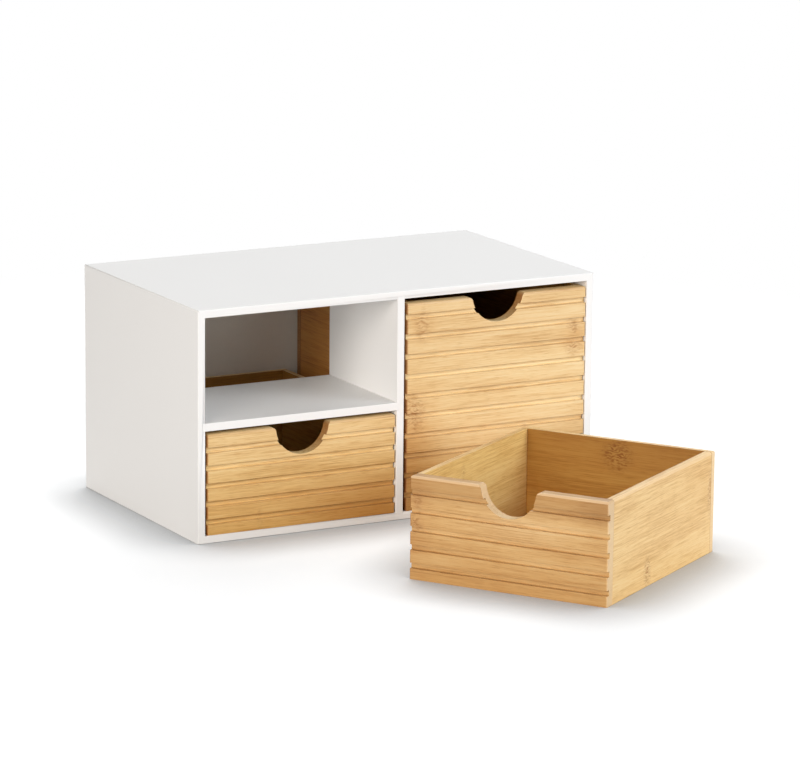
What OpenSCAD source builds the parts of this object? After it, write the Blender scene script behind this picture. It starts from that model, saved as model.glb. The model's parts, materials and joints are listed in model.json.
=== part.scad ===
// Desktop mini drawers: a white lacquered cabinet with three bays, and three bamboo drawers.
// The upper left drawer stands on the table in front of the cabinet, and its bay is empty.
// +Z is up, +Y runs from the front to the back, and the origin is the centre of the cabinet's base.

/* [Cabinet] */
// Outside width of the cabinet
cabinet_w = 334; // [300:1:400]
// Outside depth of the cabinet
cabinet_d = 198; // [195:1:260]
// Outside height of the cabinet
cabinet_h = 175; // [150:1:220]
// Thickness of the lacquered boards
board_t = 6; // [5:0.5:8]
// Depth of the shelf and the divider, which both stop short of the back
shelf_d = 109; // [60:1:160]
// How far the divider stands to the right of the middle
divider_shift = 0.8; // [-2:0.1:2]
// Depth of the housings that hold the shelf, the divider and the back panel
housing_d = 2; // [1:0.5:3]
// Thickness of the back panel
back_panel_t = 3; // [2:0.5:4]
// Distance from the back panel's rear face to the rear edges of the cabinet
back_inset = 6.5; // [4:0.5:10]
// Radius of the cabinet's eased outer edges
cabinet_edge_r = 0.8; // [0.4:0.1:2]

/* [Drawers] */
// How much narrower a drawer is than its bay
side_play = 3.1; // [2.5:0.1:8]
// Outside depth of each drawer
drawer_d = 180; // [140:1:182]
// Gap over a low drawer in its bay
low_top_gap = 2.7; // [1:0.1:6]
// Gap over the tall drawer in its bay
tall_top_gap = 4.1; // [1:0.1:6]
// How far the lower drawer stands to the right of its bay's centre
lower_drawer_shift = 0.4; // [-1:0.1:1]
// How far the tall drawer stands to the right of its bay's centre
tall_drawer_shift = 1; // [-1:0.1:1]
// Thickness of the grooved front boards
front_t = 9; // [8:0.5:12]
// Thickness of the side and back boards
side_t = 6; // [5:0.5:8]
// Thickness of the drawer bottoms
bottom_t = 3; // [2:0.5:4]
// Height of a drawer bottom's underside over the lower edges of the boards
bottom_lift = 3; // [2:0.5:5]
// Depth of the slots that hold a drawer bottom
slot_d = 2.5; // [1.5:0.5:3]
// Radius of the eased rim around the top of a drawer
drawer_rim_r = 1.8; // [0.4:0.1:2.5]
// Radius of the four upright corners of a drawer
drawer_corner_r = 0.9; // [0.4:0.1:2.5]

/* [Grooved fronts] */
// Depth of the horizontal grooves
groove_d = 3; // [1:0.5:4]
// Height of one groove
groove_h = 4.2; // [2:0.1:6]
// Number of grooves in a low front
low_grooves = 5; // [2:1:6]
// Height of the plain band over the first groove of a low front
low_top_band = 9.7; // [8:0.1:14]
// Height of the plain band under the last groove of a low front
low_foot_band = 7.9; // [7:0.1:14]
// Number of grooves in the tall front
tall_grooves = 10; // [4:1:12]
// Height of the plain band over the first groove of the tall front
tall_top_band = 8.3; // [8:0.1:14]
// Height of the plain band under the last groove of the tall front
tall_foot_band = 10; // [7:0.1:14]

/* [Finger notches] */
// Radius of a round notch
notch_r = 21.8; // [15:0.1:28]
// Depth of the notch in a low front
low_notch_depth = 22; // [16:0.1:24]
// Depth of the notch in the tall front
tall_notch_depth = 20.1; // [16:0.1:24]
// Radius of the shoulders where a notch meets the top edge
shoulder_r = 3.5; // [1:0.5:6]

/* [Loose drawer] */
// Centre of the loose drawer to the right of the cabinet's centre
loose_x = 44; // [20:1:120]
// Centre of the loose drawer in front of the cabinet's centre
loose_y = 267.5; // [267:0.5:400]
// Angle by which the loose drawer is turned clockwise, seen from above
loose_turn = 56.6; // [0:0.1:90]

/* [Hidden] */
$fn = 96;

// Overlap of a cutting shape past the face that it cuts.
past = 1;
// Front and left faces of the cabinet.
front_y = -cabinet_d / 2;
left_x = -cabinet_w / 2;
// The bays: three boards stand across the width, and three lie across the height.
mean_bay_w = (cabinet_w - 3 * board_t) / 2;
left_bay_w = mean_bay_w + divider_shift;
right_bay_w = mean_bay_w - divider_shift;
tall_bay_h = cabinet_h - 2 * board_t;
low_bay_h = (tall_bay_h - board_t) / 2;
left_bay_x = left_x + board_t + left_bay_w / 2;
right_bay_x = -left_x - board_t - right_bay_w / 2;
shelf_z = board_t + low_bay_h;
back_panel_y = -front_y - back_inset - back_panel_t;
// Outside sizes of the drawers.
low_drawer = [left_bay_w - side_play, drawer_d, low_bay_h - low_top_gap];
tall_drawer = [right_bay_w - side_play, drawer_d, tall_bay_h - tall_top_gap];

lacquer = "white";
raw_board = "silver";
bamboo = "burlywood";
bamboo_front = "sandybrown";

// A block with its lowest corner at the origin. Its four upright corners are rounded to corner_r,
// and the edges around its top and its foot to r.
module eased_block(size, r, corner_r) {
    intersection() {
        linear_extrude(size.z)
            eased_rectangle([size.x, size.y], corner_r);
        translate([0, size.y, 0])
            rotate([90, 0, 0])
                linear_extrude(size.y)
                    eased_rectangle([size.x, size.z], r);
        rotate([90, 0, 90])
            linear_extrude(size.x)
                eased_rectangle([size.y, size.z], r);
    }
}

// A rectangle whose corners are rounded to radius r.
module eased_rectangle(size, r) {
    translate([r, 0])
        square([size.x - 2 * r, size.y]);
    translate([0, r])
        square([size.x, size.y - 2 * r]);
    for (x = [r, size.x - r], y = [r, size.y - r])
        translate([x, y])
            circle(r);
}

// ---- Cabinet ----

// The whole cabinet as one block, which trims each outer board to the eased outer form.
module cabinet_form() {
    translate([left_x, front_y, 0])
        eased_block([cabinet_w, cabinet_d, cabinet_h], cabinet_edge_r, cabinet_edge_r);
}

// A board of the given length that lies across X, mitred at both ends. Its outer face is at z = 0.
module mitred_board(length) {
    translate([0, -front_y, 0])
        rotate([90, 0, 0])
            linear_extrude(cabinet_d)
                polygon([
                    [-length / 2, 0],
                    [length / 2, 0],
                    [length / 2 - board_t, board_t],
                    [-length / 2 + board_t, board_t]
                ]);
}

// The housing for the back panel, cut around the inside of the outer boards.
module back_panel_housing() {
    back_panel_slab(housing_d);
}

// A slab that fills the cabinet's inside where the back panel sits, and reaches into the boards.
module back_panel_slab(reach) {
    inside_w = cabinet_w - 2 * board_t;
    translate([-inside_w / 2 - reach, back_panel_y, board_t - reach])
        cube([inside_w + 2 * reach, back_panel_t, tall_bay_h + 2 * reach]);
}

// The shelf between the two left bays, with its ends in their housings.
module shelf_board() {
    translate([left_x + board_t - housing_d, front_y, shelf_z])
        cube([left_bay_w + 2 * housing_d, shelf_d, board_t]);
}

// The upright board between the left and right bays, with its ends in their housings.
module divider_board() {
    translate([divider_shift - board_t / 2, front_y, board_t - housing_d])
        cube([board_t, shelf_d, tall_bay_h + 2 * housing_d]);
}

module cabinet_top() {
    color(lacquer)
        difference() {
            intersection() {
                translate([0, 0, cabinet_h])
                    rotate([0, 180, 0])
                        mitred_board(cabinet_w);
                cabinet_form();
            }
            back_panel_housing();
            divider_board();
        }
}

module cabinet_bottom() {
    color(lacquer)
        difference() {
            intersection() {
                mitred_board(cabinet_w);
                cabinet_form();
            }
            back_panel_housing();
            divider_board();
        }
}

module cabinet_left_side() {
    color(lacquer)
        difference() {
            intersection() {
                translate([left_x, 0, cabinet_h / 2])
                    rotate([0, 90, 0])
                        mitred_board(cabinet_h);
                cabinet_form();
            }
            back_panel_housing();
            shelf_board();
        }
}

module cabinet_right_side() {
    color(lacquer)
        difference() {
            intersection() {
                translate([-left_x, 0, cabinet_h / 2])
                    rotate([0, -90, 0])
                        mitred_board(cabinet_h);
                cabinet_form();
            }
            back_panel_housing();
        }
}

module cabinet_back_panel() {
    color(raw_board)
        back_panel_slab(housing_d);
}

module cabinet_shelf() {
    color(lacquer)
        shelf_board();
}

module cabinet_divider() {
    color(lacquer)
        difference() {
            divider_board();
            shelf_board();
        }
}

// ---- Drawers ----
// Each drawer is drawn with the lower left corner of its front at the origin.
// size is its outside width, depth and height.

// The whole drawer as one block, which trims each board to the eased outer form.
// It reaches below the drawer, so that the lower edges stay square.
module drawer_form(size) {
    below = 2 * drawer_rim_r;
    translate([0, 0, -below])
        eased_block([size.x, size.y, size.z + below], drawer_rim_r, drawer_corner_r);
}

// The drawer's bottom, with its edges in the slots of the four boards.
module drawer_bottom(size) {
    inside_w = size.x - 2 * side_t;
    inside_d = size.y - front_t - side_t;
    translate([side_t - slot_d, front_t - slot_d, bottom_lift])
        cube([inside_w + 2 * slot_d, inside_d + 2 * slot_d, bottom_t]);
}

// The horizontal grooves, spread evenly between the plain bands at the top and the foot.
module front_grooves(size, count, top_band, foot_band) {
    pitch = (size.z - top_band - groove_h - foot_band) / (count - 1);
    for (i = [0 : count - 1])
        translate([-past, -past, foot_band + i * pitch])
            cube([size.x + 2 * past, groove_d + past, groove_h]);
}

// The outline of a finger notch, drawn with the middle of the front's top edge at the origin.
module notch_outline(depth) {
    // The shoulder circles touch both the top edge and the notch's circle.
    notch_z = notch_r - depth;
    centre_gap = notch_r + shoulder_r;
    rise = notch_z + shoulder_r;
    shoulder_x = sqrt(centre_gap * centre_gap - rise * rise);
    touch_z = notch_z - notch_r * rise / centre_gap;
    translate([0, notch_z])
        circle(notch_r);
    difference() {
        translate([-shoulder_x, touch_z])
            square([2 * shoulder_x, past - touch_z]);
        for (side = [-1, 1])
            translate([side * shoulder_x, -shoulder_r])
                circle(shoulder_r);
    }
}

// The cut that a finger notch makes through the front board.
module finger_notch(size, depth) {
    translate([size.x / 2, front_t + past, size.z])
        rotate([90, 0, 0])
            linear_extrude(front_t + 2 * past)
                notch_outline(depth);
}

module drawer_front(size, groove_count, top_band, foot_band, notch_depth) {
    color(bamboo_front)
        difference() {
            intersection() {
                cube([size.x, front_t, size.z]);
                drawer_form(size);
            }
            front_grooves(size, groove_count, top_band, foot_band);
            finger_notch(size, notch_depth);
            drawer_bottom(size);
        }
}

module drawer_back(size) {
    color(bamboo)
        difference() {
            intersection() {
                translate([0, size.y - side_t, 0])
                    cube([size.x, side_t, size.z]);
                drawer_form(size);
            }
            drawer_bottom(size);
        }
}

// One side board. at is 0 for the left side, and 1 for the right side.
module drawer_side(size, at) {
    color(bamboo)
        difference() {
            intersection() {
                translate([at * (size.x - side_t), front_t, 0])
                    cube([side_t, size.y - front_t - side_t, size.z]);
                drawer_form(size);
            }
            drawer_bottom(size);
        }
}

// The front of both low drawers.
module low_front() {
    drawer_front(low_drawer, low_grooves, low_top_band, low_foot_band, low_notch_depth);
}

// ---- The lower left drawer, in its bay ----

module place_lower() {
    translate([left_bay_x + lower_drawer_shift - low_drawer.x / 2, front_y, board_t])
        children();
}

module lower_drawer_front() {
    place_lower()
        low_front();
}

module lower_drawer_back() {
    place_lower()
        drawer_back(low_drawer);
}

module lower_drawer_left_side() {
    place_lower()
        drawer_side(low_drawer, 0);
}

module lower_drawer_right_side() {
    place_lower()
        drawer_side(low_drawer, 1);
}

module lower_drawer_bottom() {
    place_lower()
        color(bamboo)
            drawer_bottom(low_drawer);
}

// ---- The tall right drawer, in its bay ----

module place_tall() {
    translate([right_bay_x + tall_drawer_shift - tall_drawer.x / 2, front_y, board_t])
        children();
}

module tall_drawer_front() {
    place_tall()
        drawer_front(tall_drawer, tall_grooves, tall_top_band, tall_foot_band, tall_notch_depth);
}

module tall_drawer_back() {
    place_tall()
        drawer_back(tall_drawer);
}

module tall_drawer_left_side() {
    place_tall()
        drawer_side(tall_drawer, 0);
}

module tall_drawer_right_side() {
    place_tall()
        drawer_side(tall_drawer, 1);
}

module tall_drawer_bottom() {
    place_tall()
        color(bamboo)
            drawer_bottom(tall_drawer);
}

// ---- The upper left drawer, which stands on the table in front of the cabinet ----

module place_upper() {
    translate([loose_x, -loose_y, 0])
        rotate([0, 0, -loose_turn])
            translate([-low_drawer.x / 2, -low_drawer.y / 2, 0])
                children();
}

module upper_drawer_front() {
    place_upper()
        low_front();
}

module upper_drawer_back() {
    place_upper()
        drawer_back(low_drawer);
}

module upper_drawer_left_side() {
    place_upper()
        drawer_side(low_drawer, 0);
}

module upper_drawer_right_side() {
    place_upper()
        drawer_side(low_drawer, 1);
}

module upper_drawer_bottom() {
    place_upper()
        color(bamboo)
            drawer_bottom(low_drawer);
}

cabinet_top();
cabinet_bottom();
cabinet_left_side();
cabinet_right_side();
cabinet_back_panel();
cabinet_shelf();
cabinet_divider();
lower_drawer_front();
lower_drawer_back();
lower_drawer_left_side();
lower_drawer_right_side();
lower_drawer_bottom();
tall_drawer_front();
tall_drawer_back();
tall_drawer_left_side();
tall_drawer_right_side();
tall_drawer_bottom();
upper_drawer_front();
upper_drawer_back();
upper_drawer_left_side();
upper_drawer_right_side();
upper_drawer_bottom();
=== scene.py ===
"""Desktop mini drawers: a white lacquered cabinet and three grooved bamboo drawers in soft studio light.

Every board of the frame gets a dressed copy: its flat faces are cleaned, its sharp edges are eased, and
it takes a procedural finish whose grain follows that board.
"""
import json
import random
from math import cos, pi, radians, sin

import bmesh
import bpy
from mathutils import Euler, Matrix, Vector


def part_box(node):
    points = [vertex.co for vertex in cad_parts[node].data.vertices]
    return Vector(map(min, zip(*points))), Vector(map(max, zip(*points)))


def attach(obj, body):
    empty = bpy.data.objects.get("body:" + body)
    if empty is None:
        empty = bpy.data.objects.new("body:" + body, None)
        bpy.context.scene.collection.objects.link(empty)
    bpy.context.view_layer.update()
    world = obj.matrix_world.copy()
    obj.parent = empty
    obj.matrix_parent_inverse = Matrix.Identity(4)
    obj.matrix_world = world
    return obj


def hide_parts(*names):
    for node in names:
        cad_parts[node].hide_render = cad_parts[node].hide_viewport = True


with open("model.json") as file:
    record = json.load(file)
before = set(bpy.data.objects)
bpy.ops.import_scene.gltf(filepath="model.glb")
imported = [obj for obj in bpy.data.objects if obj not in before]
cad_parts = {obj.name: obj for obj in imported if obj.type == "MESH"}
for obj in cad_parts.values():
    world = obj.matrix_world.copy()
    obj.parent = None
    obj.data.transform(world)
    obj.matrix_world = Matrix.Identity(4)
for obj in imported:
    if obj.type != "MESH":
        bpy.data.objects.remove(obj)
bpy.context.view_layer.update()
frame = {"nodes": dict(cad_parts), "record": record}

MM = 0.001
QUARTER_TURN = pi / 2
LOOSE_TURN = radians(-56.6)          # how the upper drawer stands on the table

# Camera, in metres and degrees in the row frame
CAMERA_AT = (-1.5238, -2.8961, 0.8106)
CAMERA_YAW = 28.586                  # to the right of +Y
CAMERA_DIP = 12.498                  # below the horizon
CAMERA_ROLL = 0.534
CAMERA_LENS = 196.97
SENSOR_WIDTH = 36

# Light, where 1 is the level at which a colour renders as it is written
SKY_LEVEL = 0.15
LAMP_DISTANCE = 2.4
LAMPS = {
    # degrees round from -Y towards +X, degrees up, width (m), level, colour
    "key lamp": (40, 21, 1.4, 0.68, (0.96, 1.0, 1.045)),
    "fill lamp": (-54, 15, 1.3, 0.75, (1.03, 0.965, 0.90)),
    "top lamp": (151, 52, 1.45, 0.43, (1.0, 1.0, 1.0)),
}
LOW_LAMPS = ("key lamp", "fill lamp")    # they don't light the floor

# Floor: where it is seen, a share of its light near the object is a white glow, whose level makes the lit
# floor white in all. Over the span, in metres from the middle, it turns into glow alone, at level 1.
FLOOR_HALF = 9.0
FLOOR_WHITE = (0.835, 0.86, 0.88)
GLOW_SHARE = 0.38
GLOW_LEVEL = 2.18
GLOW_SPAN = (0.4, 0.9)
CONTACT_SHADOW_REACH = 0.065                # how near a thing must be for the painted shadow that dims the glow, in metres
CONTACT_SHADOW_POWER = 1.8

# Dressing
WELD_REACH = 0.002 * MM
FLAT_ANGLE = radians(0.5)            # faces that meet at less are one face
SHARP_ANGLE = radians(50)
SLIGHT_SLOPE = 0.05                  # the least sine to an axis at which a face counts as rounded
COVER_SLACK = 0.05 * MM
WOOD_EASING = 0.25 * MM
LACQUER_EASING = 0.35 * MM

# Painted light on the rounded rims, from -1, painted shade as on a left end, to 1, a painted highlight as
# on a right end
RIM_PAINTED_SHADOW_IN_BAY = -0.3                    # painted shadow of the board above, on a front that stands in its bay
# a painted sheen, on the rims of the drawer that stands in the open
RIM_PAINTED_SHEEN_IN_OPEN = 0.9

# Finishes: linear colours, and tones that multiply them
LACQUER_WHITE = (0.88, 0.876, 0.866)
LACQUER_SHADE = 0.975                # between its clouds
BACK_WHITE = (0.92, 0.86, 0.77)
BACK_SHADE = 0.93                    # between its speckles and clouds
# the colour of the mitres' hairlines, and of the painted shade in the lacquer's inner corners
SEAM_AND_PAINTED_CORNER_SHADE = (0.82, 0.81, 0.79)
BAMBOO_PALE = (0.88, 0.655, 0.355)
BAMBOO_WARM = (0.80, 0.53, 0.24)
BAMBOO_DEEP = (0.58, 0.32, 0.11)
# A painted highlight on ends and rims that face right, and painted shade on those that face left
END_PAINTED_HIGHLIGHT = (0.97, 0.70, 0.41)
END_PAINTED_HIGHLIGHT_SHARE = 0.6
LEFT_END_PAINTED_SHADE = (0.46, 0.28, 0.16)
KNUCKLE_BROWN = (0.46, 0.22, 0.07)
# painted shade in corners and at the edges of grooves
CREVICE_PAINTED_SHADE = (0.74, 0.62, 0.47)
CUT_PAINTED_LIGHT = (1.02, 1.09, 1.16)        # painted light that lifts the grooves, the notch and the ends out of the shade in them

# Where a detail fades, in mm or, for the painted shade in corners and grooves, as the openness that is
# left
CREVICE_REACH = 0.9 * MM
CREVICE_FADE = (0.9, 0.5)
LACQUER_CORNER_SHADE_SHARE = 0.5                # how much of the painted shade in corners shows in the lacquer
SEAM_FADE = (0.8, 0.3)               # off the mitre
SEAM_END_FADE = (1.2, 0.8)           # in from the corner
CUT_FADE = (0.4, 1.0)                # in from the outer face
INNER_FADE = (0.9, 0.3)              # off the inner face

# Roughness between the low and the high parts of a noise, and the depth of the relief
LACQUER_ROUGHNESS = (0.48, 0.55)
BACK_ROUGHNESS = (0.55, 0.68)
BAMBOO_ROUGHNESS = (0.42, 0.56)
PEEL_RELIEF = 0.012 * MM
SPECKLE_RELIEF = 0.03 * MM
GRAIN_RELIEF = 0.06 * MM
DASH_RELIEF = -0.6                   # how far the dashes sink, as a share of it

# Paint: sizes in mm
LACQUER_CLOUDS = (90, 90, 90)
LACQUER_PEEL = (2.2, 2.2, 2.2)
BACK_CLOUDS = (70, 70, 50)
BACK_SPECKLES = (1.1, 1.1, 1.1)
SPECKLE_SHARE = 0.4                  # the rest of the back's variation is cloud

# Bamboo: sizes in mm along the grain, through the board and across the strips
STRIP_WIDTH = 18.0
STREAKS = (120, 9, 2.2)
FIBRES = (24, 1.6, 0.7)
CLOUDS = (110, 40, 22)
DASHES = (11, 0.8, 0.4)
MOTTLES = (5.5, 2.0, 1.2)
KNUCKLE_RAGS = (4, 4, 3)             # of a knuckle's edge
KNUCKLE_WAVES = (8, 8, 5)            # of the fibres in a knuckle
WAVE_HEIGHT = 8.0
STRIP_SHIFT = 900.0                  # the most that chance shifts the grain of a strip
SEED_SHIFT = 0.37                    # shifts the strips from board to board, in strips for each seed
SEEDS = 89

# The part of each noise that shows, and what it adds to the grain's depth: 0 is pale, 0.5 warm and 1 deep
GRAIN_SPAN = (0.30, 0.72)
GLOSS_SPAN = (0.2, 0.8)
CLOUD_SPAN = (0.3, 0.7)
DASH_SPAN = (0.57, 0.72)
MOTTLE_SPAN = (0.40, 0.62)
STRIP_DEPTH = 0.16
BASE_DEPTH = -0.04
STREAK_DEPTH = 0.28
FIBRE_DEPTH = 0.44
CLOUD_DEPTH = 0.30
DASH_DEPTH = 0.32

# Knuckles: how ragged they are, where they fade on the oval, and how brown and how pale they are inside
KNUCKLE_RAGGED = 0.9
KNUCKLE_FADE = (1.45, 0.6)
KNUCKLE_MOTTLED = 0.75
KNUCKLE_EVEN = 0.25
KNUCKLE_PALE = 0.5

# Knuckles on the boards without a row in SEEN_KNUCKLES are drawn by chance between these
CHANCE_KNUCKLES = (1, 4)             # how many: from the first to one less than the second
CHANCE_PLACES = (0.1, 0.9)           # shares of the board's length
CHANCE_HALF_LENGTHS = (4, 6)         # in mm
CHANCE_STRENGTHS = (0.3, 0.5)
CHANCE_HALF_HEIGHT = 0.6 * STRIP_WIDTH

# The tone of each board, with painted light and shade in it: places across the strips in mm, which are
# heights on an upright board, and the tone there. A board with no row of its own takes the row of its
# drawer.
OUTER_TONES_AND_PAINTED_LIGHT = {
    # darker at the foot: painted shade
    "lower_drawer": {
        0: (0.88, 0.78, 0.54), 22: (0.93, 0.86, 0.69), 40: (0.97, 0.97, 0.88), 64: (0.97, 1.01, 1.04),
    },
    # much darker at the foot: painted shadow of the upper drawer that stands in front
    "tall_drawer": {
        0: (0.58, 0.44, 0.27), 34: (0.74, 0.65, 0.51), 58: (1.00, 1.04, 1.10), 106: (1.00, 1.06, 1.13),
        126: (0.96, 0.99, 1.03),
    },
    # darker and warmer all over: painted shade of the bay it stands in
    "tall_drawer_left_side": {0: (0.62, 0.40, 0.19)},
    "upper_drawer": {0: (0.96, 0.88, 0.74), 30: (1.04, 1.00, 0.90)},
    # darker at the foot, and painted shade along the top edge
    "upper_drawer_front": {
        0: (0.73, 0.61, 0.45), 25: (0.84, 0.76, 0.64), 56: (0.90, 0.85, 0.77), 64: (0.68, 0.57, 0.44),
    },
    # lighter all over: painted light on the side turned to the key lamp
    "upper_drawer_right_side": {0: (1.13, 1.13, 1.06)},
}
INNER_TONES_AND_PAINTED_SHADE = {
    # the insides grow darker towards the rim: painted shade
    "lower_drawer": {0: (0.90, 0.74, 0.40), 76: (0.46, 0.31, 0.11)},
    "tall_drawer": {0: (0.90, 0.74, 0.40), 150: (0.46, 0.31, 0.11)},
    "upper_drawer": {0: (0.96, 0.81, 0.43), 76: (0.48, 0.33, 0.11)},
    # darker at the foot and lighter above: painted shade and painted light
    "upper_drawer_left_side": {0: (0.72, 0.53, 0.28), 34: (1.10, 1.17, 0.98), 64: (1.08, 1.12, 0.90)},
}

# Oval marks on the boards: along the grain, across it, half length, half height (mm), and at the end the
# tone of a broad patch, which is mostly painted light and shade, or the strength of a knuckle
PATCHES_OF_TONE_AND_LIGHT = {
    # painted shadow of the upper drawer on the low right of the front
    "lower_drawer_front": [(140, 0, 110, 48, (0.72, 0.56, 0.38))],
    # painted shade on the lower left, and darker bamboo round two knuckles
    "tall_drawer_front": [
        (2, 55, 38, 62, (0.86, 0.74, 0.60)), (13, 141, 16, 20, (0.95, 0.89, 0.81)),
        (146, 121, 20, 20, (0.93, 0.84, 0.73)),
    ],
    # darker at both ends, and a painted sheen across the middle
    "upper_drawer_front": [
        (0, 45, 30, 60, (0.88, 0.80, 0.72)), (150, 70, 30, 30, (0.82, 0.76, 0.68)),
        (85, 48, 60, 18, (1.07, 1.13, 1.28)),
    ],
    "upper_drawer_right_side": [(171, 66, 110, 60, (0.93, 0.87, 0.78))],
    # painted light that lifts the shaded corner inside the back
    "upper_drawer_back": [(4, 22, 36, 50, (1.28, 1.32, 1.40))],
}
SEEN_KNUCKLES = {
    "tall_drawer_front": [
        (13, 141, 9, 17, 0.7), (6, 74, 14, 19, 0.9), (144, 129, 8, 9, 0.75), (144, 113, 10, 9, 0.75),
        (103, 54, 4, 8, 0.4),
    ],
    "upper_drawer_front": [(6, 58, 6, 12, 0.6), (3, 41, 9, 10, 0.8)],
    "upper_drawer_right_side": [(57, 11, 8, 15, 1.0), (163, 46, 5, 22, 0.9)],
    "upper_drawer_back": [(80, 64, 17, 16, 1.3)],
}


# ---------------------------------------------------------------- shader helpers

class Nodes:
    """A node tree, and short calls that add and link its nodes."""

    def __init__(self, owner):
        owner.use_nodes = True
        self.tree = owner.node_tree

    def node(self, kind, **settings):
        made = self.tree.nodes.new(kind)
        for key, value in settings.items():
            setattr(made, key, value)
        return made

    def feed(self, socket, value):
        """Links an output to the socket, or sets the socket to a number, a colour or a vector."""
        if isinstance(value, bpy.types.NodeSocket):
            self.tree.links.new(value, socket)
        elif isinstance(value, tuple) and len(value) == 3 and socket.type == "RGBA":
            socket.default_value = (*value, 1)
        else:
            socket.default_value = value

    def math(self, operation, first, second=0.0, third=None, clamp=False):
        made = self.node("ShaderNodeMath", operation=operation, use_clamp=clamp)
        self.feed(made.inputs[0], first)
        self.feed(made.inputs[1], second)
        if third is not None:
            self.feed(made.inputs[2], third)
        return made.outputs[0]

    def scaled(self, vector, factors):
        made = self.node("ShaderNodeVectorMath", operation="MULTIPLY")
        self.feed(made.inputs[0], vector)
        self.feed(made.inputs[1], factors)
        return made.outputs[0]

    def length(self, vector):
        made = self.node("ShaderNodeVectorMath", operation="LENGTH")
        self.feed(made.inputs[0], vector)
        return made.outputs["Value"]

    def split(self, vector):
        made = self.node("ShaderNodeSeparateXYZ")
        self.feed(made.inputs[0], vector)
        return made.outputs

    def joined(self, x, y, z):
        made = self.node("ShaderNodeCombineXYZ")
        for socket, value in zip(made.inputs, (x, y, z)):
            self.feed(socket, value)
        return made.outputs[0]

    def noise(self, vector, sizes, detail=2.0, roughness=0.5):
        """Noise from 0 to 1 whose features are about as long as the sizes, in the vector's units."""
        made = self.node("ShaderNodeTexNoise")
        self.feed(made.inputs["Vector"], self.scaled(vector, tuple(1 / size for size in sizes)))
        self.feed(made.inputs["Scale"], 1.0)
        self.feed(made.inputs["Detail"], detail)
        self.feed(made.inputs["Roughness"], roughness)
        return made.outputs[0]

    def ranged(self, value, low, high, to_low=0.0, to_high=1.0):
        """The value from low to high, eased into to_low to to_high."""
        made = self.node("ShaderNodeMapRange", interpolation_type="SMOOTHSTEP")
        for socket, number in zip(made.inputs, (value, low, high, to_low, to_high)):
            self.feed(socket, number)
        return made.outputs[0]

    def mix(self, share, first, second, blend="MIX"):
        """A mix of two colours, which are the node's inputs 6 and 7, and its output 2."""
        made = self.node("ShaderNodeMix", data_type="RGBA", blend_type=blend)
        self.feed(made.inputs[0], share)
        self.feed(made.inputs[6], first)
        self.feed(made.inputs[7], second)
        return made.outputs[2]

    def ramp(self, value, stops):
        """The colour at the value, from a dictionary of values and the colours there."""
        top = max(stops) or 1
        made = self.node("ShaderNodeValToRGB")
        self.feed(made.inputs[0], self.math("MULTIPLY", value, 1 / top))
        points = made.color_ramp.elements
        points.remove(points[-1])
        for stop in list(stops)[1:]:
            points.new(stop / top)
        for point, colour in zip(points, stops.values()):
            point.color = (*colour, 1)
        return made.outputs["Color"]

    def coordinates(self, space=Matrix.Identity(4)):
        """The surface's place in millimetres, in the given space."""
        place = self.node("ShaderNodeTexCoord").outputs["Object"]
        made = self.node("ShaderNodeMapping", vector_type="TEXTURE")
        self.feed(made.inputs["Vector"], place)
        made.inputs["Location"].default_value = space.to_translation()
        made.inputs["Rotation"].default_value = space.to_euler()
        made.inputs["Scale"].default_value = (MM, MM, MM)
        return made.outputs[0]

    def openness(self, reach, samples):
        """1 on an open face, and less where something stands within reach."""
        made = self.node("ShaderNodeAmbientOcclusion", samples=samples)
        self.feed(made.inputs["Distance"], reach)
        return made.outputs["AO"]

    def painted_crevice_shade(self):
        """Where painted shade goes: 1 in a corner or at the edge of a groove, and 0 on an open face."""
        return self.ranged(self.openness(CREVICE_REACH, samples=4), *CREVICE_FADE)


class Finish(Nodes):
    """A material and the nodes of its shader."""

    def __init__(self, name):
        self.material = bpy.data.materials.new(name)
        super().__init__(self.material)
        self.shader = self.tree.nodes["Principled BSDF"]

    def bump(self, height, depth, strength):
        """A relief of the height, as deep as the depth in metres."""
        made = self.node("ShaderNodeBump")
        self.feed(made.inputs["Height"], height)
        self.feed(made.inputs["Distance"], depth)
        self.feed(made.inputs["Strength"], strength)
        self.feed(self.shader.inputs["Normal"], made.outputs[0])


# ---------------------------------------------------------------- finishes

def lacquer(name):
    """Sprayed white lacquer: satin, with a faint orange peel, hairlines where the mitres meet, and
    painted shade in its inner corners.
    """
    finish = Finish(name)
    place = finish.coordinates()
    cloud = finish.noise(place, LACQUER_CLOUDS, detail=3)
    peel = finish.noise(place, LACQUER_PEEL, detail=1)
    darker = tuple(channel * LACQUER_SHADE for channel in LACQUER_WHITE)
    colour = finish.mix(cloud, darker, LACQUER_WHITE)
    # painted shade in the inner corners, drawn in the hairlines' colour
    painted_crevice_shade = finish.math("MULTIPLY", finish.painted_crevice_shade(), LACQUER_CORNER_SHADE_SHARE)
    dark = finish.math("MAXIMUM", mitre_seam(finish, place), painted_crevice_shade)
    colour = finish.mix(dark, colour, finish.mix(1.0, colour, SEAM_AND_PAINTED_CORNER_SHADE, blend="MULTIPLY"))
    finish.feed(finish.shader.inputs["Base Color"], colour)
    roughness = finish.ranged(cloud, *CLOUD_SPAN, *LACQUER_ROUGHNESS)
    finish.feed(finish.shader.inputs["Roughness"], roughness)
    finish.bump(peel, PEEL_RELIEF, strength=0.5)
    return finish.material


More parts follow.
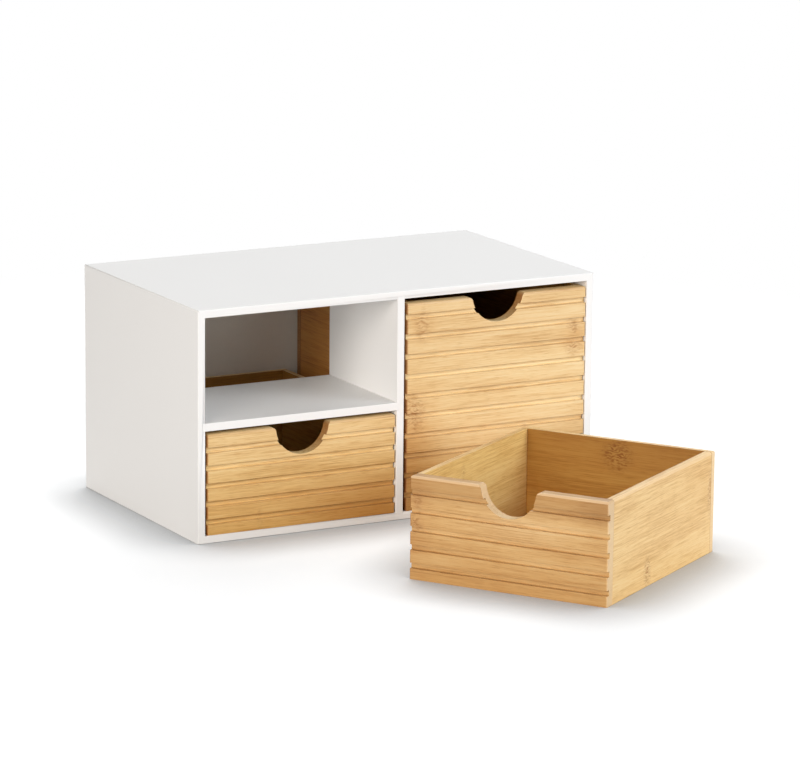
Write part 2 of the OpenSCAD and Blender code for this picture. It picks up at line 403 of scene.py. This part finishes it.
def mitre_seam(finish, place):
    """1 on the hairlines along the cabinet's long edges, where the mitres of its boards meet."""
    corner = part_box("cabinet_top")[1] / MM
    x, _, z = finish.split(place)
    from_side = finish.math("SUBTRACT", corner.x, finish.math("ABSOLUTE", x))
    from_middle = finish.math("ABSOLUTE", finish.math("SUBTRACT", z, corner.z / 2))
    from_top = finish.math("SUBTRACT", corner.z / 2, from_middle)
    off_mitre = finish.math("ABSOLUTE", finish.math("SUBTRACT", from_side, from_top))
    at_corner = finish.ranged(from_side, *SEAM_END_FADE)
    return finish.math("MULTIPLY", finish.ranged(off_mitre, *SEAM_FADE), at_corner)


def painted_back(name):
    """The thin back panel: the paint lies thinner and more matt on its board."""
    finish = Finish(name)
    place = finish.coordinates()
    speckle = finish.noise(place, BACK_SPECKLES, detail=3)
    cloud = finish.noise(place, BACK_CLOUDS, detail=3)
    darker = tuple(channel * BACK_SHADE for channel in BACK_WHITE)
    clouded = finish.math("MULTIPLY", cloud, 1 - SPECKLE_SHARE)
    tone = finish.math("MULTIPLY_ADD", speckle, SPECKLE_SHARE, clouded)
    finish.feed(finish.shader.inputs["Base Color"], finish.mix(tone, darker, BACK_WHITE))
    roughness = finish.ranged(speckle, *CLOUD_SPAN, *BACK_ROUGHNESS)
    finish.feed(finish.shader.inputs["Roughness"], roughness)
    finish.bump(speckle, SPECKLE_RELIEF, strength=0.6)
    return finish.material


def off_mark(finish, place, mark):
    """0 in the middle of an oval mark on a board, and 1 at its edge."""
    along_at, across_at, half_along, half_across, _ = mark
    along, _, across = finish.split(place)
    off_along = finish.math("MULTIPLY_ADD", along, 1 / half_along, -along_at / half_along)
    off_across = finish.math("MULTIPLY_ADD", across, 1 / half_across, -across_at / half_across)
    return finish.length(finish.joined(off_along, off_across, 0.0))


def near_knuckle(finish, place, mark):
    """1 in the middle of a bamboo knuckle, and 0 past its ragged edge."""
    rags = finish.noise(place, KNUCKLE_RAGS)
    ragged = finish.math("MULTIPLY_ADD", rags, KNUCKLE_RAGGED, off_mark(finish, place, mark))
    return finish.ranged(ragged, *KNUCKLE_FADE)


def strip_chance(finish, across, seed):
    """A number from 0 to 1, by chance, for each of the laminated strips."""
    strips = finish.math("MULTIPLY_ADD", across, 1 / STRIP_WIDTH, seed * SEED_SHIFT)
    chance = finish.node("ShaderNodeTexWhiteNoise", noise_dimensions="1D")
    finish.feed(chance.inputs["W"], finish.math("ADD", finish.math("FLOOR", strips), seed))
    return chance.outputs["Value"]


def grain_place(finish, place, own, knuckles):
    """The place in the grain, which waves in each knuckle and is shifted by chance in each strip."""
    along, thick, across = finish.split(place)
    wave = finish.math("SUBTRACT", finish.noise(place, KNUCKLE_WAVES, detail=1), 0.5)
    for share, _ in knuckles:
        across = finish.math("MULTIPLY_ADD", finish.math("MULTIPLY", share, wave), WAVE_HEIGHT, across)
    return finish.joined(finish.math("MULTIPLY_ADD", own, STRIP_SHIFT, along), thick, across)


def grain_colour(finish, grain, own, fibres, dashes):
    """The colour of bare bamboo, by how deep the layers of its grain make it in all."""
    streaks = finish.noise(grain, STREAKS, detail=3, roughness=0.55)
    cloud = finish.noise(grain, CLOUDS, detail=2)
    layers = (
        (finish.ranged(streaks, *GRAIN_SPAN), STREAK_DEPTH),
        (finish.ranged(fibres, *GRAIN_SPAN), FIBRE_DEPTH),
        (finish.ranged(cloud, *CLOUD_SPAN), CLOUD_DEPTH),
        (dashes, DASH_DEPTH),
    )
    depth = finish.math("MULTIPLY_ADD", own, STRIP_DEPTH, BASE_DEPTH)
    for layer, added in layers:
        depth = finish.math("MULTIPLY_ADD", layer, added, depth)
    warm_share = finish.math("MULTIPLY", depth, 2.0, clamp=True)
    deep_share = finish.math("MULTIPLY_ADD", depth, 2.0, -1.0, clamp=True)
    return finish.mix(deep_share, finish.mix(warm_share, BAMBOO_PALE, BAMBOO_WARM), BAMBOO_DEEP)


def with_knuckles(finish, colour, grain, knuckles):
    """The colour, mottled brown and pale in each knuckle."""
    mottle = finish.ranged(finish.noise(grain, MOTTLES, detail=2, roughness=0.6), *MOTTLE_SPAN)
    unmottled = finish.math("SUBTRACT", 1.0, mottle)
    browned = finish.math("MULTIPLY_ADD", mottle, KNUCKLE_MOTTLED, KNUCKLE_EVEN)
    for share, strength in knuckles:
        dark = finish.math("MULTIPLY", finish.math("MULTIPLY", share, browned), strength)
        pale = finish.math("MULTIPLY", finish.math("MULTIPLY", share, unmottled), strength * KNUCKLE_PALE)
        colour = finish.mix(dark, colour, KNUCKLE_BROWN)
        colour = finish.mix(pale, colour, BAMBOO_PALE)
    return colour


def with_tones_and_light(finish, colour, place, tones_and_light, tone_and_light_patches, inner_at, outer_at):
    """The colour in the tone of the outer face, the cuts into it, the inner face and the oval marks, with
    painted light and shade among them.
    """
    _, thick, across = finish.split(place)
    outer, inner = (finish.ramp(across, stops) for stops in tones_and_light)
    off_outer = finish.math("ABSOLUTE", finish.math("SUBTRACT", thick, outer_at))
    # painted light in the cuts, against the shade in them
    cut = finish.mix(1.0, outer, CUT_PAINTED_LIGHT, blend="MULTIPLY")
    outer = finish.mix(finish.ranged(off_outer, *CUT_FADE), outer, cut)
    off_inner = finish.math("ABSOLUTE", finish.math("SUBTRACT", thick, inner_at))
    tone = finish.mix(finish.ranged(off_inner, *INNER_FADE), outer, inner)
    colour = finish.mix(1.0, colour, tone, blend="MULTIPLY")
    # the oval marks, mostly painted light and shade
    for patch in tone_and_light_patches:
        toned = finish.mix(1.0, colour, patch[-1], blend="MULTIPLY")
        colour = finish.mix(finish.ranged(off_mark(finish, place, patch), 1.0, 0.0), colour, toned)
    return colour


def with_painted_light_on_ends(finish, colour):
    """The colour with painted light: a painted highlight on right ends and open rims, painted shade on
    left ends and on rims in a bay, and painted shade in corners and groove edges.
    """
    painted_end_light = finish.node("ShaderNodeAttribute", attribute_name="painted_end_light").outputs["Fac"]
    colour = finish.mix(finish.math("MULTIPLY", painted_end_light, END_PAINTED_HIGHLIGHT_SHARE, clamp=True), colour, END_PAINTED_HIGHLIGHT)
    darker = finish.mix(1.0, colour, LEFT_END_PAINTED_SHADE, blend="MULTIPLY")
    colour = finish.mix(finish.math("MULTIPLY", painted_end_light, -1.0, clamp=True), colour, darker)
    # painted shade in corners and at the edges of grooves
    shaded = finish.mix(1.0, colour, CREVICE_PAINTED_SHADE, blend="MULTIPLY")
    return finish.mix(finish.painted_crevice_shade(), colour, shaded)


def bamboo(name, space, tones_and_light, tone_and_light_patches, inner_at, outer_at, marks, seed):
    """Laminated bamboo with a clear coat.

    Along x of the space runs the grain, y goes through the board and z crosses the strips. The rows of
    tone, with painted light and shade in them, are those of the outer and the inner face, which lie at
    outer_at and inner_at through the board.
    """
    finish = Finish(name)
    place = finish.coordinates(space)
    own = strip_chance(finish, finish.split(place)[2], seed)
    knuckles = [(near_knuckle(finish, place, mark), mark[-1]) for mark in marks]
    grain = grain_place(finish, place, own, knuckles)
    fibres = finish.noise(grain, FIBRES, detail=3, roughness=0.6)
    dashes = finish.ranged(finish.noise(grain, DASHES, detail=1), *DASH_SPAN)

    colour = grain_colour(finish, grain, own, fibres, dashes)
    colour = with_knuckles(finish, colour, grain, knuckles)
    colour = with_tones_and_light(finish, colour, place, tones_and_light, tone_and_light_patches, inner_at, outer_at)
    finish.feed(finish.shader.inputs["Base Color"], with_painted_light_on_ends(finish, colour))
    roughness = finish.ranged(fibres, *GLOSS_SPAN, *BAMBOO_ROUGHNESS)
    finish.feed(finish.shader.inputs["Roughness"], roughness)
    finish.feed(finish.shader.inputs["Specular IOR Level"], 0.3)
    finish.feed(finish.shader.inputs["Coat Weight"], 0.2)
    finish.feed(finish.shader.inputs["Coat Roughness"], 0.3)
    relief = finish.math("MULTIPLY_ADD", dashes, DASH_RELIEF, fibres)
    finish.bump(relief, GRAIN_RELIEF, strength=0.5)
    return finish.material


# ---------------------------------------------------------------- dressing

def board_space(node, turn, lying=False):
    """The board's own space: x along its grain, z across its strips, from its lowest corner."""
    axes = Euler((-QUARTER_TURN if lying else 0, 0, turn)).to_matrix()
    corners = [axes.transposed() @ vertex.co for vertex in frame["nodes"][node].data.vertices]
    low = Vector(min(corner[axis] for corner in corners) for axis in range(3))
    return Matrix.Translation(axes @ low) @ axes.to_4x4()


def covered(point, boxes):
    """Whether a point lies in or on one of the boxes."""
    return any(
        all(low[axis] - COVER_SLACK < point[axis] < high[axis] + COVER_SLACK for axis in range(3))
        for low, high in boxes
    )


def mark_painted_end_light(shape, along, rim_painted_end_light):
    """Gives each face its painted light: 1 for a painted highlight on a right end, -1 for painted shade
    on a left end, and its own on a rounded rim.
    """
    painted_end_light = shape.faces.layers.float.new("painted_end_light")
    for face in shape.faces:
        cuts_grain = face.normal.dot(along)
        slopes_up = SLIGHT_SLOPE < face.normal.z < 1 - SLIGHT_SLOPE ** 2
        on_rim = slopes_up and abs(cuts_grain) < SLIGHT_SLOPE
        face[painted_end_light] = rim_painted_end_light if on_rim else cuts_grain


def dress(node, body, material, easing, along=Vector((1, 0, 0)), rim_painted_end_light=0, neighbours=()):
    """Adds a finished copy of one board: flat faces made whole, and bare sharp edges eased."""
    boxes = [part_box(other) for other in neighbours]
    shape = bmesh.new()
    shape.from_mesh(frame["nodes"][node].data)
    bmesh.ops.remove_doubles(shape, verts=shape.verts, dist=WELD_REACH)
    bmesh.ops.dissolve_limit(shape, angle_limit=FLAT_ANGLE, verts=shape.verts, edges=shape.edges)
    mark_painted_end_light(shape, along, rim_painted_end_light)
    sharp = [
        edge for edge in shape.edges
        if edge.is_manifold and edge.calc_face_angle(0) > SHARP_ANGLE
        and not covered((edge.verts[0].co + edge.verts[1].co) / 2, boxes)
    ]
    bmesh.ops.bevel(
        shape, geom=sharp, offset=easing, offset_type="OFFSET", segments=2, profile=0.5,
        affect="EDGES", clamp_overlap=True,
    )
    mesh = bpy.data.meshes.new(node + "_finished")
    shape.to_mesh(mesh)
    shape.free()
    mesh.shade_smooth()
    mesh.set_sharp_from_angle(angle=SHARP_ANGLE)
    piece = bpy.data.objects.new(node + "_finished", mesh)
    bpy.context.scene.collection.objects.link(piece)
    piece.data.materials.append(material)
    even = piece.modifiers.new("even faces", "WEIGHTED_NORMAL")
    even.keep_sharp = True
    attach(piece, body)
    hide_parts(node)


def dress_cabinet():
    """Dresses the seven boards. Their edges stay sharp where another board covers them."""
    white = lacquer("white lacquer")
    back = painted_back("painted back")
    boards = frame["record"]["behaviour"]["bodies"]["cabinet"]
    for node in boards:
        others = [other for other in boards if other != node]
        if node == "cabinet_back_panel":
            dress(node, "cabinet", back, LACQUER_EASING, neighbours=others)
        else:
            dress(node, "cabinet", white, LACQUER_EASING, neighbours=others)


def knuckles_of(node, length, height, chance):
    """The knuckles seen on the board, or else one to three by chance."""
    if node in SEEN_KNUCKLES:
        return SEEN_KNUCKLES[node]
    strips = int(height / STRIP_WIDTH)
    knuckles = []
    for _ in range(chance.randrange(*CHANCE_KNUCKLES)):
        along_at = chance.uniform(*CHANCE_PLACES) * length
        across_at = (chance.randrange(strips) + 0.5) * STRIP_WIDTH
        half_length = chance.uniform(*CHANCE_HALF_LENGTHS)
        strength = chance.uniform(*CHANCE_STRENGTHS)
        knuckles.append((along_at, across_at, half_length, CHANCE_HALF_HEIGHT, strength))
    return knuckles


def dress_drawer(body, turn):
    """Dresses the five boards of a drawer that is turned by so much about the upright axis."""
    for node in frame["record"]["behaviour"]["bodies"][body]:
        kind = node.removeprefix(body + "_")
        grain_turn = turn + QUARTER_TURN if kind.endswith("side") else turn
        space = board_space(node, grain_turn, lying=kind == "bottom")
        corners = [space.inverted() @ vertex.co / MM for vertex in frame["nodes"][node].data.vertices]
        length, thickness, height = (max(corner[axis] for corner in corners) for axis in range(3))
        inner_at = thickness if kind in ("front", "right_side") else 0
        outer_at = thickness - inner_at
        tones_and_light = [tones_of.get(node, tones_of[body]) for tones_of in (OUTER_TONES_AND_PAINTED_LIGHT, INNER_TONES_AND_PAINTED_SHADE)]
        tone_and_light_patches = PATCHES_OF_TONE_AND_LIGHT.get(node, [])
        knuckles = knuckles_of(node, length, height, random.Random(node))
        seed = sum(map(ord, node)) % SEEDS + 0.5
        name = node.replace("_", " ")
        finish = bamboo(name, space, tones_and_light, tone_and_light_patches, inner_at, outer_at, knuckles, seed)
        # A front in its bay gets painted shadow on its rim from the board above; the rims of the drawer
        # in the open get a painted sheen
        in_bay = kind == "front" and body != "upper_drawer"
        rim_painted_end_light = RIM_PAINTED_SHADOW_IN_BAY if in_bay else RIM_PAINTED_SHEEN_IN_OPEN
        dress(node, body, finish, WOOD_EASING, space.col[0].to_3d(), rim_painted_end_light)


# ---------------------------------------------------------------- studio

def add_camera():
    """The camera, at the photograph's viewing angle."""
    data = bpy.data.cameras.new("camera")
    data.lens = CAMERA_LENS
    data.sensor_width = SENSOR_WIDTH
    camera = bpy.data.objects.new("camera", data)
    bpy.context.scene.collection.objects.link(camera)
    camera.matrix_world = (
        Matrix.Translation(CAMERA_AT)
        @ Matrix.Rotation(radians(-CAMERA_YAW), 4, "Z")
        @ Matrix.Rotation(radians(90 - CAMERA_DIP), 4, "X")
        @ Matrix.Rotation(radians(CAMERA_ROLL), 4, "Z")
    )
    bpy.context.scene.camera = camera


def seen_directly(nodes):
    """1 for a ray from the camera, a mirror or a clear body, and 0 for light on the object."""
    path = nodes.node("ShaderNodeLightPath").outputs
    shiny = nodes.math("MAXIMUM", path["Is Glossy Ray"], path["Is Transmission Ray"])
    return nodes.math("MAXIMUM", path["Is Camera Ray"], shiny)


def add_floor():
    """A pale floor that reads white, keeps the soft shadow of the top lamp near the object, and has a
    painted shadow where its glow dims near a thing.
    """
    mesh = bpy.data.meshes.new("floor")
    corners = [(x * FLOOR_HALF, y * FLOOR_HALF, 0) for x, y in ((-1, -1), (1, -1), (1, 1), (-1, 1))]
    mesh.from_pydata(corners, [], [(0, 1, 2, 3)])
    floor = bpy.data.objects.new("floor", mesh)
    bpy.context.scene.collection.objects.link(floor)
    finish = Finish("floor")
    finish.feed(finish.shader.inputs["Base Color"], FLOOR_WHITE)
    finish.feed(finish.shader.inputs["Roughness"], 0.9)
    finish.feed(finish.shader.inputs["Specular IOR Level"], 0.0)
    distance = finish.length(finish.node("ShaderNodeTexCoord").outputs["Object"])
    # painted shadow: the glow dims where a thing stands near
    openness = finish.openness(CONTACT_SHADOW_REACH, samples=8)
    painted_contact_shadow = finish.math("POWER", openness, CONTACT_SHADOW_POWER)
    level = finish.ranged(distance, *GLOW_SPAN, GLOW_LEVEL, 1.0)
    glow = finish.node("ShaderNodeEmission")
    finish.feed(glow.inputs["Strength"], finish.math("MULTIPLY", painted_contact_shadow, level))
    share = finish.ranged(distance, *GLOW_SPAN, GLOW_SHARE, 1.0)
    blend = finish.node("ShaderNodeMixShader")
    finish.feed(blend.inputs[0], finish.math("MULTIPLY", share, seen_directly(finish)))
    finish.feed(blend.inputs[1], finish.shader.outputs[0])
    finish.feed(blend.inputs[2], glow.outputs[0])
    finish.feed(finish.tree.nodes["Material Output"].inputs["Surface"], blend.outputs[0])
    mesh.materials.append(finish.material)
    return floor


def add_sky():
    """An even white surround: full white where it is seen, SKY_LEVEL as light."""
    world = bpy.data.worlds.new("studio")
    nodes = Nodes(world)
    background = nodes.tree.nodes["Background"]
    nodes.feed(background.inputs["Color"], (1.0, 1.0, 1.0))
    level = nodes.ranged(seen_directly(nodes), 0.0, 1.0, SKY_LEVEL, 1.0)
    nodes.feed(background.inputs["Strength"], level)
    bpy.context.scene.world = world


def add_lamp(name, azimuth, elevation, width, level, colour):
    """A large soft lamp, aimed at the object, that lights a face turned to it at about the level."""
    across, up = radians(azimuth), radians(elevation)
    toward = Vector((sin(across) * cos(up), -cos(across) * cos(up), sin(up)))
    data = bpy.data.lights.new(name, "AREA")
    data.shape = "SQUARE"
    data.size = width
    data.energy = level * (pi * LAMP_DISTANCE) ** 2
    data.color = colour
    lamp = bpy.data.objects.new(name, data)
    lamp.location = toward * LAMP_DISTANCE
    lamp.rotation_euler = (-toward).to_track_quat("-Z", "Y").to_euler()
    bpy.context.scene.collection.objects.link(lamp)
    return lamp


def keep_off(lamp, floor):
    """Keeps a low lamp off the floor, where its long shadow would fall beside the object."""
    unlit = bpy.data.collections.new("not lit by the " + lamp.name)
    unlit.objects.link(floor)
    unlit.collection_objects[0].light_linking.link_state = "EXCLUDE"
    lamp.light_linking.receiver_collection = unlit


dress_cabinet()
dress_drawer("lower_drawer", 0)
dress_drawer("tall_drawer", 0)
dress_drawer("upper_drawer", LOOSE_TURN)
add_camera()
add_sky()
floor = add_floor()
lamps = {name: add_lamp(name, *settings) for name, settings in LAMPS.items()}
for name in LOW_LAMPS:
    keep_off(lamps[name], floor)
bpy.context.scene.view_settings.view_transform = "Standard"
